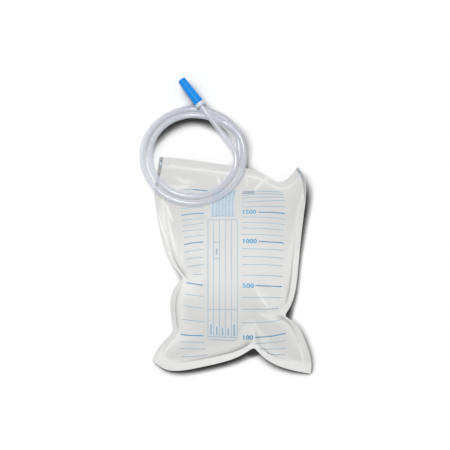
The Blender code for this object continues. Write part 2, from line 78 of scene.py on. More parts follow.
sun_data = bpy.data.lights.new("window_light", "SUN")
sun_data.energy = SUN_STRENGTH
sun_data.angle = SUN_WIDTH
sun = bpy.data.objects.new("window_light", sun_data)
sun.rotation_euler = SUN_TURN
bpy.context.scene.collection.objects.link(sun)


def fill(tree, node, inputs):
    """Link each named input of a node to a socket, or set it to a value."""
    for socket, value in inputs.items():
        if isinstance(value, bpy.types.NodeSocket):
            tree.links.new(value, node.inputs[socket])
        else:
            node.inputs[socket].default_value = value


def add_node(tree, kind, inputs, **settings):
    """Add a node to a tree and fill its inputs. It gives the node's outputs."""
    node = tree.nodes.new(kind)
    for setting, value in settings.items():
        setattr(node, setting, value)
    fill(tree, node, inputs)
    return node.outputs


def maths(tree, operation, *values):
    return add_node(tree, "ShaderNodeMath", dict(enumerate(values)), operation=operation)["Value"]


def new_material(name):
    """A material, its tree of nodes and its shader."""
    mat = bpy.data.materials.new(name)
    mat.use_nodes = True
    return mat, mat.node_tree, mat.node_tree.nodes["Principled BSDF"]


TABLE_HALF = 3.0
TABLE_DROP = 0.0002  # the table top lies this far under the bag, so that no two faces coincide
TABLE_COLOUR = 0.97
TABLE_ROUGHNESS = 0.9
TABLE_GLOW = 0.02  # lifts the lit table to plain white where the camera sees it
CONTACT_REACH = 0.0200  # how far off a thing still shades the table
CONTACT_COLOUR = 0.02
CONTACT_SIDE = (-0.45, 0.66, 0.61)  # the way to the lamp, leant over
CONTACT_OPEN = (0.58, 0.85)  # share of that side that is open where the shade is deepest, and where it ends

table_mesh = bpy.data.meshes.new("table")
table_corners = [(x * TABLE_HALF, y * TABLE_HALF, 0.0) for x, y in ((-1, -1), (1, -1), (1, 1), (-1, 1))]
table_mesh.from_pydata(table_corners, [], [(0, 1, 2, 3)])
table = bpy.data.objects.new("table", table_mesh)
table.location.z = -TABLE_DROP
bpy.context.scene.collection.objects.link(table)
table_mat, table_tree, table_shader = new_material("white_table")
towards_lamp = add_node(table_tree, "ShaderNodeCombineXYZ", dict(zip("XYZ", CONTACT_SIDE)))["Vector"]
open_share = add_node(
    table_tree, "ShaderNodeAmbientOcclusion", {"Distance": CONTACT_REACH, "Normal": towards_lamp}
)["AO"]
contact_shade = add_node(table_tree, "ShaderNodeMapRange", {
    "Value": open_share, "From Min": CONTACT_OPEN[0], "From Max": CONTACT_OPEN[1],
    "To Min": CONTACT_COLOUR, "To Max": TABLE_COLOUR,
})["Result"]
rays = add_node(table_tree, "ShaderNodeLightPath", {})
seen = maths(table_tree, "MAXIMUM", rays["Is Camera Ray"], rays["Is Transmission Ray"])
fill(table_tree, table_shader, {
    "Base Color": contact_shade, "Roughness": TABLE_ROUGHNESS, "Specular IOR Level": 0.0,
    "Emission Color": (1.0, 1.0, 1.0, 1.0),
    "Emission Strength": maths(table_tree, "MULTIPLY", seen, TABLE_GLOW),
})
table_mesh.materials.append(table_mat)

# Tube.
# Clear soft tube, extruded, with a bore. Its start is seated in the bag's sleeve, it lies in the two loose
# turns that it was packed in, and it crosses them to its connector.

TUBE_DIAMETER = 0.0075
TUBE_BORE = 0.0052
SLEEVE_HEIGHT = 0.0088
SLEEVE_OUTSIDE = 0.008
SLEEVE_EDGE = Vector((0.010261, 0.122594, SLEEVE_HEIGHT))  # where the tube crosses the bag's edge
SLEEVE_OUT = Vector((-0.050607, 0.998719, 0.0))  # its way out of the bag there
TUBE_START = -0.0037  # the tube's end along that way, where less than 0 is inside the bag
COIL_CENTRE = (-0.0480, 0.1365)
COIL_OUTER = (0.0635, 0.0592)
COIL_INNER = (0.0540, 0.0510)
COIL_LEAN = 0.262  # rise of the coil for its run, from its far side on the table up onto the bag
COIL_START = 26.0  # degrees round from the right-hand side
COIL_END = 700.0
COIL_PITCH = 24.0
START_TRACK = 0.47  # place between the inner track, 0, and the outer, 1
START_OUTWARD = (0.0, 60.0)  # degrees over which the tube moves out to the outer track
START_LEAN = (35.0, 100.0)  # and over which it begins to lean
SECOND_INWARD = (380.0, 440.0)  # and over which the second turn moves in to the inner track
STEP_OVER = (408.0, 26.0)  # where the second turn steps over the first, and how far round that reaches
COIL_STEP = 0.0050  # rise of the second turn there
COIL_BEND = (0.0096, 0.1352, 0.0212)  # corner that the tube rounds as it leaves the coil
BEND_SHARES = (0.2, 0.4, 0.6, 0.8)
CHORD = ((0.060, 0.0213), (0.045, 0.0206), (0.030, 0.0195))  # distance back from the collar, and height
COLLAR_PLACE = Vector((-0.0381, 0.1985, 0.0146))
COLLAR_STRAIGHT = (0.0140, 0.0060)
CONNECTOR_SLOPE = math.radians(8.5)
CONNECTOR_HEADING = math.radians(127.0)
TUBE_SEAT = 0.0067  # how far past the collar's place the tube reaches into the connector
TUBE_STATIONS = 420
TUBE_SIDES = 32
SPAN_STEPS = 24


def smooth_step(x, low, high):
    t = np.clip((x - low) / (high - low), 0.0, 1.0)
    return t * t * (3.0 - 2.0 * t)


def coil_point(degrees):
    """A point of the coil. Track 0 is the inner one and track 1 the outer one."""
    angle = math.radians(degrees)
    start = START_TRACK + (1.0 - START_TRACK) * smooth_step(degrees, *START_OUTWARD)
    track = start - smooth_step(degrees, *SECOND_INWARD)
    x = COIL_CENTRE[0] + (COIL_INNER[0] + (COIL_OUTER[0] - COIL_INNER[0]) * track) * math.cos(angle)
    y = COIL_CENTRE[1] + (COIL_INNER[1] + (COIL_OUTER[1] - COIL_INNER[1]) * track) * math.sin(angle)
    lean = COIL_LEAN * (COIL_CENTRE[1] + COIL_OUTER[1] - y) * smooth_step(degrees, *START_LEAN)
    first = (SLEEVE_HEIGHT - TUBE_DIAMETER / 2) * (1.0 - smooth_step(degrees, *START_OUTWARD))
    crossing = COIL_STEP * math.exp(-(((degrees - STEP_OVER[0]) / STEP_OVER[1]) ** 2))
    return Vector((x, y, TUBE_DIAMETER / 2 + lean + first + crossing))


connector_axis = Vector((
    math.cos(CONNECTOR_SLOPE) * math.cos(CONNECTOR_HEADING),
    math.cos(CONNECTOR_SLOPE) * math.sin(CONNECTOR_HEADING),
    -math.sin(CONNECTOR_SLOPE),
))
level_axis = Vector((connector_axis.x, connector_axis.y, 0)).normalized()
route = [SLEEVE_EDGE + SLEEVE_OUT * TUBE_START, SLEEVE_EDGE + SLEEVE_OUT * SLEEVE_OUTSIDE]
route += [coil_point(degrees) for degrees in np.arange(COIL_START, COIL_END, COIL_PITCH)]
chord = [Vector((*(COLLAR_PLACE - level_axis * back).xy, height)) for back, height in CHORD]
route += [
    route[-1] * (1 - t) ** 2 + Vector(COIL_BEND) * 2 * t * (1 - t) + chord[0] * t**2
    for t in BEND_SHARES
]
route += chord
route += [COLLAR_PLACE - connector_axis * back for back in COLLAR_STRAIGHT]
route.append(COLLAR_PLACE + connector_axis * TUBE_SEAT)


def smooth_route(points, count):
    """Even points along a smooth curve through the given ones."""
    knots = [2 * points[0] - points[1], *points, 2 * points[-1] - points[-2]]
    fine = []
    for p0, p1, p2, p3 in zip(knots, knots[1:], knots[2:], knots[3:]):
        t0 = 0.0
        t1 = t0 + math.sqrt((p1 - p0).length)
        t2 = t1 + math.sqrt((p2 - p1).length)
        t3 = t2 + math.sqrt((p3 - p2).length)
        for i in range(SPAN_STEPS):
            t = t1 + (t2 - t1) * i / SPAN_STEPS
            a1 = p0 * ((t1 - t) / (t1 - t0)) + p1 * ((t - t0) / (t1 - t0))
            a2 = p1 * ((t2 - t) / (t2 - t1)) + p2 * ((t - t1) / (t2 - t1))
            a3 = p2 * ((t3 - t) / (t3 - t2)) + p3 * ((t - t2) / (t3 - t2))
            b1 = a1 * ((t2 - t) / (t2 - t0)) + a2 * ((t - t0) / (t2 - t0))
            b2 = a2 * ((t3 - t) / (t3 - t1)) + a3 * ((t - t1) / (t3 - t1))
            fine.append(b1 * ((t2 - t) / (t2 - t1)) + b2 * ((t - t1) / (t2 - t1)))
    fine.append(points[-1])
    fine = np.array(fine)
    run = np.concatenate([[0.0], np.cumsum(np.linalg.norm(np.diff(fine, axis=0), axis=1))])
    even = np.linspace(0.0, run[-1], count)
    return np.stack([np.interp(even, run, fine[:, k]) for k in range(3)], axis=1)


def vector_maths(tree, operation, *values):
    return add_node(tree, "ShaderNodeVectorMath", dict(enumerate(values)), operation=operation)


def plain_mesh(obj):
    """What an object's modifiers or its outline make, as a mesh of its own."""
    return bpy.data.meshes.new_from_object(obj.evaluated_get(bpy.context.evaluated_depsgraph_get()))


def shape_tree(name, **inputs):
    """An empty tree of Geometry Nodes: a mesh goes in and comes out, and the inputs are named."""
    tree = bpy.data.node_groups.new(name, "GeometryNodeTree")
    tree.interface.new_socket("Geometry", in_out="INPUT", socket_type="NodeSocketGeometry")
    for socket, kind in inputs.items():
        tree.interface.new_socket(socket, in_out="INPUT", socket_type="NodeSocket" + kind)
    tree.interface.new_socket("Geometry", in_out="OUTPUT", socket_type="NodeSocketGeometry")
    return tree, tree.nodes.new("NodeGroupInput").outputs


def end_tree(tree, geometry, mat):
    whole = add_node(tree, "GeometryNodeRealizeInstances", {"Geometry": geometry})["Geometry"]
    coloured = add_node(tree, "GeometryNodeSetMaterial", {"Geometry": whole, "Material": mat})["Geometry"]
    fill(tree, tree.nodes.new("NodeGroupOutput"), {"Geometry": coloured})


def grow(name, guide, tree, **values):
    """A piece that a tree makes from a guide mesh. It ends as a plain mesh with no modifier."""
    piece = bpy.data.objects.new(name, guide)
    bpy.context.scene.collection.objects.link(piece)
    grown = piece.modifiers.new(name, "NODES")
    grown.node_group = tree
    for socket in tree.interface.items_tree:
        if socket.in_out == "INPUT" and socket.name in values:
            grown[socket.identifier] = values[socket.name]
    piece.data = plain_mesh(piece)
    piece.modifiers.clear()
    piece.data.shade_smooth()
    return piece


tube_tree, given = shape_tree("skin_along_route", Diameter="Float", Sides="Int", Material="Material")
tube_radius = maths(tube_tree, "MULTIPLY", given["Diameter"], 0.5)
tube_ring = add_node(
    tube_tree, "GeometryNodeCurvePrimitiveCircle", {"Resolution": given["Sides"], "Radius": tube_radius}
)["Curve"]
tube_path = add_node(tube_tree, "GeometryNodeMeshToCurve", {"Mesh": given["Geometry"]})["Curve"]
tube_skin = add_node(
    tube_tree, "GeometryNodeCurveToMesh", {"Curve": tube_path, "Profile Curve": tube_ring}
)["Mesh"]
end_tree(tube_tree, tube_skin, given["Material"])

CLOUD_DETAIL = 3.0
WAVE_DETAIL = 2.0
WAVE_DEPTH = 0.0004


def fine_variation():
    """Cloudiness and the small waviness of soft plastic, in real metres on Object coordinates."""
    group = bpy.data.node_groups.new("soft_plastic_variation", "ShaderNodeTree")
    for name in ("Cloud Scale", "Wave Scale", "Wave Height"):
        group.interface.new_socket(name, in_out="INPUT", socket_type="NodeSocketFloat")
    group.interface.new_socket("Cloud", in_out="OUTPUT", socket_type="NodeSocketFloat")
    group.interface.new_socket("Normal", in_out="OUTPUT", socket_type="NodeSocketVector")
    given = group.nodes.new("NodeGroupInput").outputs
    place = add_node(group, "ShaderNodeTexCoord", {})["Object"]
    cloud, wave = (
        add_node(group, "ShaderNodeTexNoise", {"Vector": place, "Scale": scale, "Detail": detail})["Fac"]
        for scale, detail in ((given["Cloud Scale"], CLOUD_DETAIL), (given["Wave Scale"], WAVE_DETAIL))
    )
    normal = add_node(
        group, "ShaderNodeBump", {"Height": wave, "Strength": given["Wave Height"], "Distance": WAVE_DEPTH}
    )["Normal"]
    fill(group, group.nodes.new("NodeGroupOutput"), {"Cloud": cloud, "Normal": normal})
    return group


variation = fine_variation()


def varied_plastic(name, dark, light, roughness, cloud_scale=60.0, wave_scale=700.0, wave_height=0.15):
    """A plastic whose colour drifts between two close shades, with a faint waviness."""
    mat, tree, shader = new_material(name)
    vary = add_node(
        tree, "ShaderNodeGroup",
        {"Cloud Scale": cloud_scale, "Wave Scale": wave_scale, "Wave Height": wave_height},
        node_tree=variation,
    )
    shades = add_node(
        tree, "ShaderNodeMix", {"Factor": vary["Cloud"], "A": (*dark, 1.0), "B": (*light, 1.0)},
        data_type="RGBA",
    )["Result"]
    fill(tree, shader, {"Base Color": shades, "Normal": vary["Normal"], "Roughness": roughness})
    return mat, tree, shader


def let_through(tree, shader, seen, shade):
    """The wall's alpha is seen to the eye. To light on its way to what lies below, it is only shade."""
    shadow_ray = add_node(tree, "ShaderNodeLightPath", {})["Is Shadow Ray"]
    alpha = add_node(tree, "ShaderNodeMix", {"Factor": shadow_ray, "A": seen, "B": shade})["Result"]
    fill(tree, shader, {"Alpha": alpha})


def level_light(tree, shader, share):
    """Light spreads sideways in a milky wall, so its shading is turned part of the way to the level."""
    wavy = shader.inputs["Normal"].links[0].from_socket
    level = add_node(
        tree, "ShaderNodeVectorTransform", {"Vector": (0.0, 0.0, 1.0)},
        vector_type="NORMAL", convert_from="OBJECT", convert_to="WORLD",
    )["Vector"]
    spread = add_node(
        tree, "ShaderNodeMix", {"Factor": share, "A": wavy, "B": level}, data_type="VECTOR"
    )["Result"]
    fill(tree, shader, {"Normal": vector_maths(tree, "NORMALIZE", spread)["Vector"]})


TUBE_SHADE = 0.16
TUBE_SPREAD = 0.35
TUBE_GLOSS = 0.45
EDGE_BLEND = 0.35
WALL_ALPHA = (0.40, 0.86)  # of the near wall, seen face on and edge on

clear_tube, tube_nodes, shader = varied_plastic(
    "clear_tube", (0.68, 0.705, 0.785), (0.75, 0.775, 0.855),
    roughness=0.14, cloud_scale=40.0, wave_height=0.0,
)
edge_on = add_node(tube_nodes, "ShaderNodeLayerWeight", {"Blend": EDGE_BLEND})["Facing"]
near_wall = add_node(
    tube_nodes, "ShaderNodeMapRange", {"Value": edge_on, "To Min": WALL_ALPHA[0], "To Max": WALL_ALPHA[1]}
)["Result"]
back_face = add_node(tube_nodes, "ShaderNodeNewGeometry", {})["Backfacing"]
wall_alpha = add_node(tube_nodes, "ShaderNodeMix", {"Factor": back_face, "A": near_wall, "B": 0.0})["Result"]
shader.inputs["Specular IOR Level"].default_value = TUBE_GLOSS
let_through(tube_nodes, shader, wall_alpha, TUBE_SHADE)
level_light(tube_nodes, shader, TUBE_SPREAD)

tube_line = smooth_route(route, TUBE_STATIONS)
tube_guide = bpy.data.meshes.new("tube_route")
tube_guide.from_pydata(tube_line.tolist(), [(i, i + 1) for i in range(TUBE_STATIONS - 1)], [])
tube = grow(
    "drain_tube", tube_guide, tube_tree, Diameter=TUBE_DIAMETER, Sides=TUBE_SIDES, Material=clear_tube
)
tube_wall = tube.modifiers.new("wall", "SOLIDIFY")
tube_wall.thickness = (TUBE_DIAMETER - TUBE_BORE) / 2
tube_wall.offset = -1.0
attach(tube, "bag")
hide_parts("tube")

# Painted light: the table is painted lighter in a band under the clear turns, for the light they let through,
# so the contact shade is weaker there
PAINTED_GATHERED_LIGHT = 0.62  # least colour of the table there
PAINTED_LIGHT_BAND = (0.085, 0.125)  # shares of the coil's radius: half width of the band, and where it has faded

coil_middle = [(outer + inner) / 2 for outer, inner in zip(COIL_OUTER, COIL_INNER)]
table_place = add_node(table_tree, "ShaderNodeTexCoord", {})["Object"]
off_centre = vector_maths(table_tree, "SUBTRACT", table_place, (*COIL_CENTRE, 0.0))["Vector"]
in_radii = vector_maths(table_tree, "DIVIDE", off_centre, (*coil_middle, 1.0))["Vector"]
radius = vector_maths(table_tree, "LENGTH", in_radii)["Value"]
off_middle = maths(table_tree, "ABSOLUTE", maths(table_tree, "SUBTRACT", radius, 1.0))
painted_gathered_light = add_node(table_tree, "ShaderNodeMapRange", {
    "Value": off_middle, "From Min": PAINTED_LIGHT_BAND[0], "From Max": PAINTED_LIGHT_BAND[1],
    "To Min": PAINTED_GATHERED_LIGHT, "To Max": 0.0,
})["Result"]
fill(table_tree, table_shader, {"Base Color": maths(table_tree, "MAXIMUM", contact_shade, painted_gathered_light)})

# Connector and cap.
# Both are moulded. The connector is hard white plastic with a collar and a stepped nozzle. The cap is a blue
# tapered cup that is pushed over the nozzle and slides off along it.

MOULDED_EDGE = math.radians(40)
CAP_GLOSS = 0.25

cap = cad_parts["cap"]
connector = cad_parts["connector"]
white_plastic = varied_plastic(
    "white_plastic", (0.62, 0.69, 0.76), (0.69, 0.75, 0.81),
    roughness=0.34, wave_scale=1500.0, wave_height=0.08,
)[0]
blue_plastic, _, shader = varied_plastic(
    "blue_plastic", (0.004, 0.25, 0.79), (0.008, 0.30, 0.87),
    roughness=0.30, wave_scale=1500.0, wave_height=0.08,
)
shader.inputs["Specular IOR Level"].default_value = CAP_GLOSS
for piece, mat in ((connector, white_plastic), (cap, blue_plastic)):
    piece.data.materials.clear()
    piece.data.materials.append(mat)
    piece.data.shade_smooth()
    piece.data.set_sharp_from_angle(angle=MOULDED_EDGE)

# Inlet sleeve and non-return valve.
# A short sleeve of clear soft plastic is welded between the plies. A flat sleeve of thin film hangs from it
# inside the bag, so that nothing runs back up the tube.

SLEEVE_TRANSMISSION = 0.5

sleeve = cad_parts["inlet_sleeve"]
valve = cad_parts["non_return_valve"]
soft_sleeve, _, shader = varied_plastic("soft_sleeve", (0.82, 0.84, 0.88), (0.88, 0.90, 0.93), roughness=0.26)
shader.inputs["Transmission Weight"].default_value = SLEEVE_TRANSMISSION
thin_film = varied_plastic("thin_film", (0.84, 0.86, 0.87), (0.88, 0.90, 0.90), roughness=0.30)[0]
for piece, mat in ((sleeve, soft_sleeve), (valve, thin_film)):
    piece.data.materials.clear()
    piece.data.materials.append(mat)

# Bag film.
# Two plies of milky film, each cut to a rectangle, are welded together round the edge. Air inside stands them
# off the weld. Where the weld is drawn in, the film puckers, and folds run in from there.

# A place on the film is (u, v): u runs from its left edge to its right, v from its top edge to its bottom
BAG_WIDTH = 0.216
BAG_LENGTH = 0.276
FILM_THICKNESS = 0.0003
PLY_GAP = 0.0003
SIDE_WELD = 0.0095
END_WELD = 0.010

# Where each corner of the welded rectangle has been drawn in to, across and along the bag
DRAWN_IN = {
    "top_left": (0.0185, 0.0026),
    "top_right": (0.0259, 0.0156),
    "bottom_right": (0.0095, 0.0026),
    "bottom_left": (0.0086, 0.0186),
}

# Puckers and bulges of each edge: place along the edge from 0 to 1, depth inwards (less than 0 is a bulge),
# reach before it, reach after it, and how rounded its tip is
TOP_EDGE = (
    (0.606, 0.0288, 0.090, 0.035, 0.040),
    (0.895, 0.0378, 0.0093, 0.0095, 0.040),
)
RIGHT_EDGE = (
    (0.073, -0.0314, 0.0146, 0.090, 0.040),
    (0.711, 0.0174, 0.0169, 0.0081, 0.0034),
    (0.954, -0.0170, 0.0203, 0.0203, 0.040),
)
BOTTOM_EDGE = (
    (0.115, -0.0200, 0.0104, 0.0303, 0.040),
    (0.629, 0.0246, 0.0247, 0.0200, 0.0029),
)
LEFT_EDGE = (
    (0.166, -0.0160, 0.090, 0.0457, 0.040),
    (0.586, 0.0215, 0.0188, 0.0130, 0.0043),
    (0.847, 0.0272, 0.084, 0.0188, 0.0060),
)
EDGE_FADE = 2.6  # how fast an edge's puckers die out across the film
EDGE_SAMPLES = 601

# Air inside: how far each film stands off the weld, and how high the weld is held off the table
RISE_TOP = 0.0288
RISE_LOW = 0.052
RISE_CHANGE = (0.20, 0.65)  # shares of the length between which the one turns into the other
BACK_DROP = 0.045
PUFF_CORNER_ACROSS = 2.6
PUFF_CORNER_ALONG = 3.4
PUFF_SHOULDER = 0.72  # 0.5 gives a film that stands square off the weld, 1 one that slopes up from it
WELD_LIFT_CORNER = 0.0022
WELD_LIFT_SIDE = 0.0180
WELD_LIFT_END = 0.0095
FLOOR_ROUNDING = 0.004
ROUNDING_SHARE = 0.8  # most that the rounding takes of a low place's height

# Upper corners: curled up off the table, each with a punched hanging hole
CURL_WIDTH = 0.0145
CURL_LENGTH = 0.058
CURL_STRAIGHT = 0.0174
CURL_ANGLE = math.radians(74)
HOLE_DIAMETER = 0.0076
HOLE_FROM_SIDE = 0.0066
HOLE_FROM_TOP = 0.0085

# Creases in the front film, running in from the puckers: start (u, v), end (u, v), depth share, half width
CREASES = (
    ((1.00, 0.690), (0.70, 0.560), 0.62, 0.0100),
    ((1.00, 0.700), (0.66, 0.735), 0.45, 0.0090),
    ((0.00, 0.575), (0.34, 0.500), 0.55, 0.0095),
    ((0.00, 0.590), (0.30, 0.640), 0.50, 0.0090),
    ((0.00, 0.830), (0.26, 0.800), 0.45, 0.0090),
    ((0.625, 1.00), (0.60, 0.800), 0.60, 0.0105),
    ((0.640, 1.00), (0.74, 0.860), 0.40, 0.0080),
    ((0.850, 0.00), (0.66, 0.170), 0.60, 0.0100),
    ((0.870, 0.00), (0.90, 0.160), 0.45, 0.0080),
)

# The plies are lifted over the inlet sleeve, at this share of the width
SLEEVE_PLACE = 0.540
SLEEVE_OUTER = 0.0103
SLEEVE_FILM_MARGIN = 0.0013
SLEEVE_FILM_REACH = 0.013
SLEEVE_FILM_START = 0.020
SLEEVE_FILM_END = 0.054

COLUMNS = 168
ROWS = 216
COLUMN_SPREAD = (0.12, 0.88)  # stretch of a half turn whose cosine spaces the columns, closer at the sides
LEAST_LENGTH = 1e-12

# Looks of the film. Steepness is 1 less the upward share of the normal
FILM_ROUGHNESS = 0.38
FILM_TRANSMISSION = 0.12
FILM_IOR = 1.25
FILM_SHADE = 0.25
# Steep film is painted paler, as painted light against the shade of its slope. The weld's pale band is partly
# its own paleness and partly painted light
PALER_AND_PAINTED_LIGHT_COLOUR = (1.0, 1.0, 0.985, 1.0)
STEEP = (0.09, 0.55)  # steepness at which the painted light on steep film begins, and at which it is strongest
STEEP_PAINTED_LIGHT = 0.8
WELD_PALE_AND_PAINTED_LIGHT = ((-0.0006, 0.0), (0.0004, 0.9), (0.0024, 0.9), (0.0050, 0.0))  # place inside the weld, paleness with painted light
WELD_FLAT = 0.15  # share of the weld's paleness and painted light that is left where the film is level

# How light the film is down the bag: share of its length, and share of the film's own colour
GREY_DOWN_BAG = (
    (0.0, 0.88), (0.2, 0.88), (0.43, 1.0), (0.56, 1.0), (0.72, 0.88), (0.94, 0.88), (0.965, 1.0)
)

MM = 0.001
FOLD_ENDS = 0.05
FOLD_TAPER = 0.7
FOLD_FADE = 3.0  # folds are whole where the puff is over one part in this many

# Fine folds of the front film, as seen from above: pixels of the photograph that the fold runs through,
# height in mm (less than 0 is a valley), half width in mm, and how much paler the film is painted along it,
# partly stress whitening and partly a painted highlight
FOLDS = (
    (((256, 286), (260, 295), (266, 304), (273, 311.5), (281, 314)), 1.3, 2.4, 0.6),
    (((268, 177), (262, 183), (254, 190)), 0.8, 1.6, 0.7),
    (((245.5, 170), (246.3, 178), (246.8, 186)), 0.5, 1.6, 0.4),
    (((277, 186), (290, 181), (297, 176)), -0.5, 2.5, 0.0),
    (((175, 226), (176, 243), (180, 259), (183, 271)), -0.9, 2.0, 0.0),
    (((167, 205), (169, 222), (173, 240), (178, 258)), 0.7, 1.8, 0.8),
    (((162, 203), (165, 222), (169, 238)), 0.5, 1.4, 0.5),
    (((184, 278), (194, 278), (205, 281)), 0.7, 2.4, 0.2),
    (((184, 279), (191, 284), (198, 291)), 0.5, 2.2, 0.2),
    (((176, 331), (187, 333), (200, 332)), 0.5, 2.4, 0.2),
    (((252, 345), (248, 338), (247, 330)), 0.7, 2.2, 0.2),
    (((253, 345), (262, 344), (274, 341)), 0.5, 2.2, 0.1),
    (((176, 164), (184, 165), (191, 166.5)), -0.6, 1.1, 0.0),
    (((181, 169.5), (193, 170.5), (205, 172.5)), -0.6, 1.1, 0.0),
    (((198, 172.5), (210, 174), (223, 174.8)), -0.6, 1.1, 0.0),
    (((208, 168), (220, 169), (231, 171)), -0.6, 1.1, 0.0),
    (((217.5, 175), (219, 181), (220.5, 187)), 0.4, 1.6, 0.6),
    (((176, 178), (184, 182), (193, 182)), 0.4, 2.4, 0.4),
    (((225, 176), (224.5, 183)), 0.3, 1.2, 0.5),
    (((289, 330), (297, 345), (304, 361)), 0.4, 1.8, 0.3),
    (((161, 200), (167, 206), (173, 222)), 0.7, 1.6, 0.8),
    (((164, 226), (172, 236), (175, 251)), 0.7, 1.6, 0.9),
    (((158, 212), (163, 230), (171, 250)), 0.5, 1.2, 0.8),
    (((168, 251), (175, 258), (180, 268)), 0.6, 1.4, 0.8),
    (((178, 276), (183, 262), (182, 248)), 0.5, 1.4, 0.5),
    (((164, 159.5), (178, 161.5), (196, 163)), -0.5, 1.0, 0.0),
    (((186, 162), (203, 165), (228, 167)), -0.5, 1.0, 0.0),
    (((166, 168), (172, 166), (178, 166.5)), 0.5, 1.2, 0.6),
    (((168, 186), (178, 188), (190, 186)), 0.5, 2.0, 0.5),
    (((196, 180), (208, 184), (216, 188)), -0.5, 2.0, 0.0),
    (((164, 344), (161, 353), (159, 360)), 0.4, 1.4, 0.4),
    (((160, 201), (163, 214), (167, 228), (171, 240)), 0.15, 4.5, 0.3),
    (((170, 238), (174, 252), (180, 267)), 0.15, 3.6, 0.3),
)


def photo_place(px, py):
    """The place on the table under a pixel of the photograph."""
    return (px - BAG_MIDDLE[0]) * PIXEL, (BAG_MIDDLE[1] - py) * PIXEL


def corner(name):
    across, along = DRAWN_IN[name]
    side = 1 if name.endswith("right") else -1
    end = 1 if name.startswith("top") else -1
    return np.array([side * (BAG_WIDTH / 2 - across), end * (BAG_LENGTH / 2 - along)])


def edge_curve(start, end, puckers, turn):
    """Points along one edge, and the share of the edge's own length at which each one lies."""
    s = np.linspace(0.0, 1.0, EDGE_SAMPLES)
    length = np.hypot(*(end - start))
    inward = turn * np.array([start[1] - end[1], end[0] - start[0]]) / length
    depth = 0.0
    for place, deep, before, after, rounded in puckers:
        away = (s - place) * length
        depth = depth + deep * np.exp((rounded - np.hypot(away, rounded)) / np.where(away < 0, before, after))
    depth = depth - depth[0] * (1 - s) - depth[-1] * s
    points = start + np.outer(s, end - start) + np.outer(depth, inward)
    share = np.concatenate([[0.0], np.cumsum(np.hypot(*np.diff(points, axis=0).T))])
    return points, share / share[-1]


TOP_LEFT, TOP_RIGHT = corner("top_left"), corner("top_right")
BOTTOM_LEFT, BOTTOM_RIGHT = corner("bottom_left"), corner("bottom_right")
CURVES = {
    "top": edge_curve(TOP_LEFT, TOP_RIGHT, TOP_EDGE, -1),
    "bottom": edge_curve(BOTTOM_LEFT, BOTTOM_RIGHT, BOTTOM_EDGE, 1),
    "left": edge_curve(TOP_LEFT, BOTTOM_LEFT, LEFT_EDGE, 1),
    "right": edge_curve(TOP_RIGHT, BOTTOM_RIGHT, RIGHT_EDGE, -1),
}
LEVEL_LEFT = (TOP_LEFT[0] + BOTTOM_LEFT[0]) / 2
LEVEL_RIGHT = (TOP_RIGHT[0] + BOTTOM_RIGHT[0]) / 2
LEVEL_TOP = (TOP_LEFT[1] + TOP_RIGHT[1]) / 2
LEVEL_BOTTOM = (BOTTOM_LEFT[1] + BOTTOM_RIGHT[1]) / 2


def level_place(a, b):
    x = LEVEL_LEFT + (LEVEL_RIGHT - LEVEL_LEFT) * a
    y = LEVEL_TOP + (LEVEL_BOTTOM - LEVEL_TOP) * b
    return np.stack(np.broadcast_arrays(x, y), axis=-1)


def edge_place(name, t):
    """The place at share t of an edge's own length."""
    points, share = CURVES[name]
    return np.stack([np.interp(t, share, points[:, 0]), np.interp(t, share, points[:, 1])], axis=-1)


def curled(v):
    """1 beside the top of the curled corners, and 0 below them."""
    return 1.0 - smooth_step(v * BAG_LENGTH, CURL_STRAIGHT, CURL_LENGTH)


def across_plan(u, v):
    """Share of the level width at u, and how high the curl lifts the film there."""
    fold = CURL_WIDTH / BAG_WIDTH * curled(v)
    flat = math.cos(CURL_ANGLE)
    lost = fold * (1.0 - flat)
    from_side = np.minimum(u, 1.0 - u)
    inner = np.where(from_side < fold, from_side * flat, from_side - lost) / (1.0 - 2.0 * lost)
    height = np.maximum(fold - from_side, 0.0) * BAG_WIDTH * math.sin(CURL_ANGLE)
    return np.where(u < 0.5, inner, 1.0 - inner), height


def near_sleeve(u, v):
    """1 over the inlet sleeve, and 0 where the film no longer feels it."""
    side = np.abs(u - SLEEVE_PLACE) * BAG_WIDTH
    bump = np.where(side < SLEEVE_FILM_REACH, 0.5 + 0.5 * np.cos(math.pi * side / SLEEVE_FILM_REACH), 0.0)
    return bump * (1.0 - smooth_step(v * BAG_LENGTH, SLEEVE_FILM_START, SLEEVE_FILM_END))


def weld_surface(u, v):
    """Where the film at (u, v) would lie with no air in the bag."""
    a, curl = across_plan(u, v)
    left, right = ((1 - a) ** EDGE_FADE)[..., None], (a**EDGE_FADE)[..., None]
    top, bottom = ((1 - v) ** EDGE_FADE)[..., None], (v**EDGE_FADE)[..., None]
    place = (
        level_place(a, v)
        + (edge_place("left", v) - level_place(0, v)) * left
        + (edge_place("right", v) - level_place(1, v)) * right
        + (edge_place("top", a) - level_place(a, 0)) * top
        + (edge_place("bottom", a) - level_place(a, 1)) * bottom
        - (TOP_LEFT - level_place(0, 0)) * left * top
        - (TOP_RIGHT - level_place(1, 0)) * right * top
        - (BOTTOM_LEFT - level_place(0, 1)) * left * bottom
        - (BOTTOM_RIGHT - level_place(1, 1)) * right * bottom
    )
    side = WELD_LIFT_SIDE * 4 * v * (1 - v) * np.abs(2 * u - 1) ** 2
    end = WELD_LIFT_END * 4 * u * (1 - u) * np.abs(2 * v - 1) ** 2
    held = near_sleeve(u, v)
    height = (WELD_LIFT_CORNER + side + end) * (1 - held) + SLEEVE_HEIGHT * held + curl
    return np.concatenate([place, height[..., None]], axis=-1)


def crease(start, end, depth, half_width, u, v):
    """How much of the rise a crease takes away. It is deepest at its start."""
    x, y = u * BAG_WIDTH, v * BAG_LENGTH
    x0, y0 = start[0] * BAG_WIDTH, start[1] * BAG_LENGTH
    dx, dy = end[0] * BAG_WIDTH - x0, end[1] * BAG_LENGTH - y0
    along = np.clip(((x - x0) * dx + (y - y0) * dy) / (dx * dx + dy * dy), 0.0, 1.0)
    off = np.hypot(x - x0 - along * dx, y - y0 - along * dy)
    return depth * (1.0 - along) * np.exp(-((off / half_width) ** 2))


